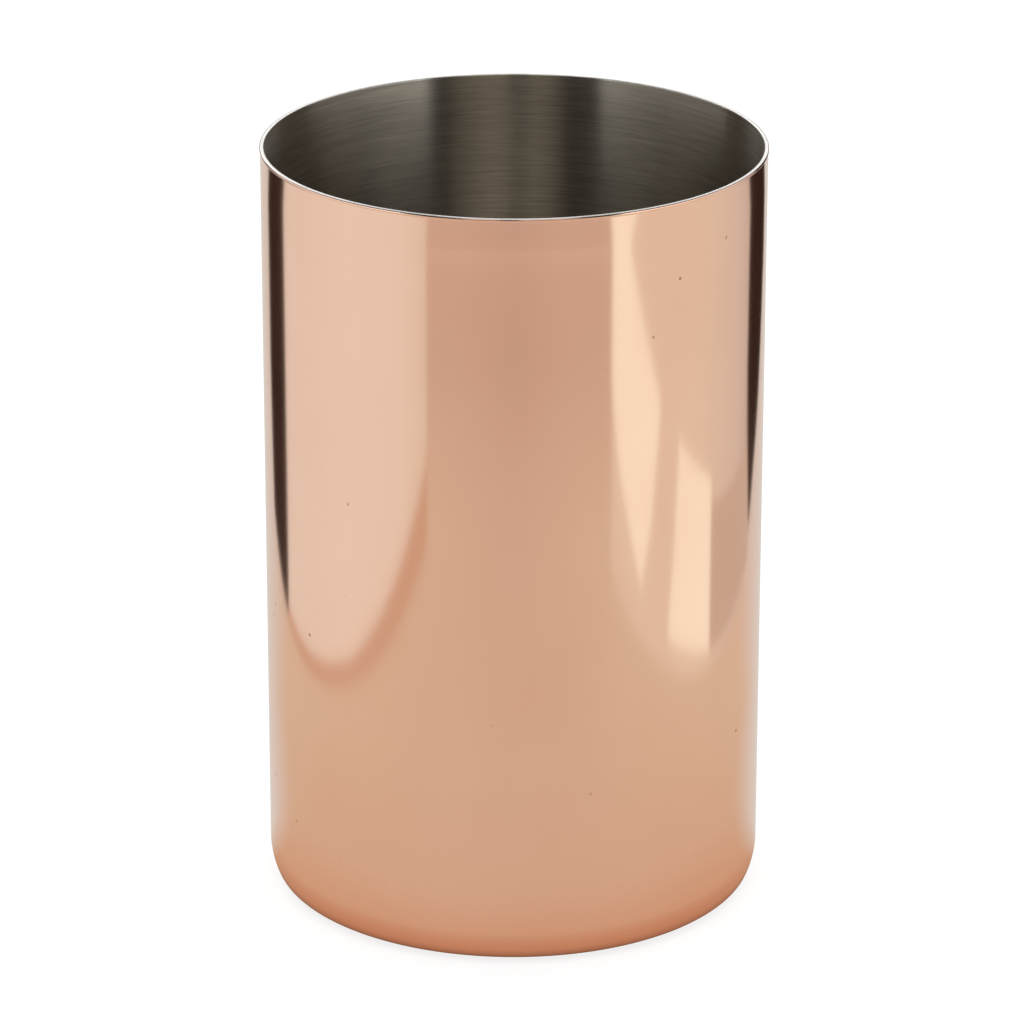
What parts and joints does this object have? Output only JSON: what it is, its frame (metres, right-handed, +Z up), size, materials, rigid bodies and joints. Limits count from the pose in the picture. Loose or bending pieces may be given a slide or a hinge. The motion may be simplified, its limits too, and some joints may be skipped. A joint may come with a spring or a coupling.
{
  "type": "frothing cup",
  "caption": "Straight, handle-less, open double-walled steel cup for frothing milk, copper-plated outside, brushed inside, on a non-slip base pad.",
  "frame": {"origin": "centre of the underside of the non-slip pad, where the cup stands", "axes": "+Z up along the cup's axis, out of its mouth; the cup is round, so +X and +Y are arbitrary"},
  "size_m": [0.085, 0.085, 0.1311],
  "materials": {
    "copper_plating": "polished",
    "brushed_steel": "satin",
    "polished_steel": "polished",
    "satin_steel": "satin",
    "weld_metal": "matte",
    "plug_steel": "satin",
    "adhesive": "matte",
    "pad_rubber": "matte"
  },
  "bodies": {
    "root": {"outer_shell": "copper_plating", "inner_liner": "brushed_steel", "rim_weld": "polished_steel", "base_plate": "satin_steel", "base_weld": "weld_metal", "vent_plug": "plug_steel", "pad_adhesive": "adhesive", "base_pad": "pad_rubber"}
  },
  "joints": []
}
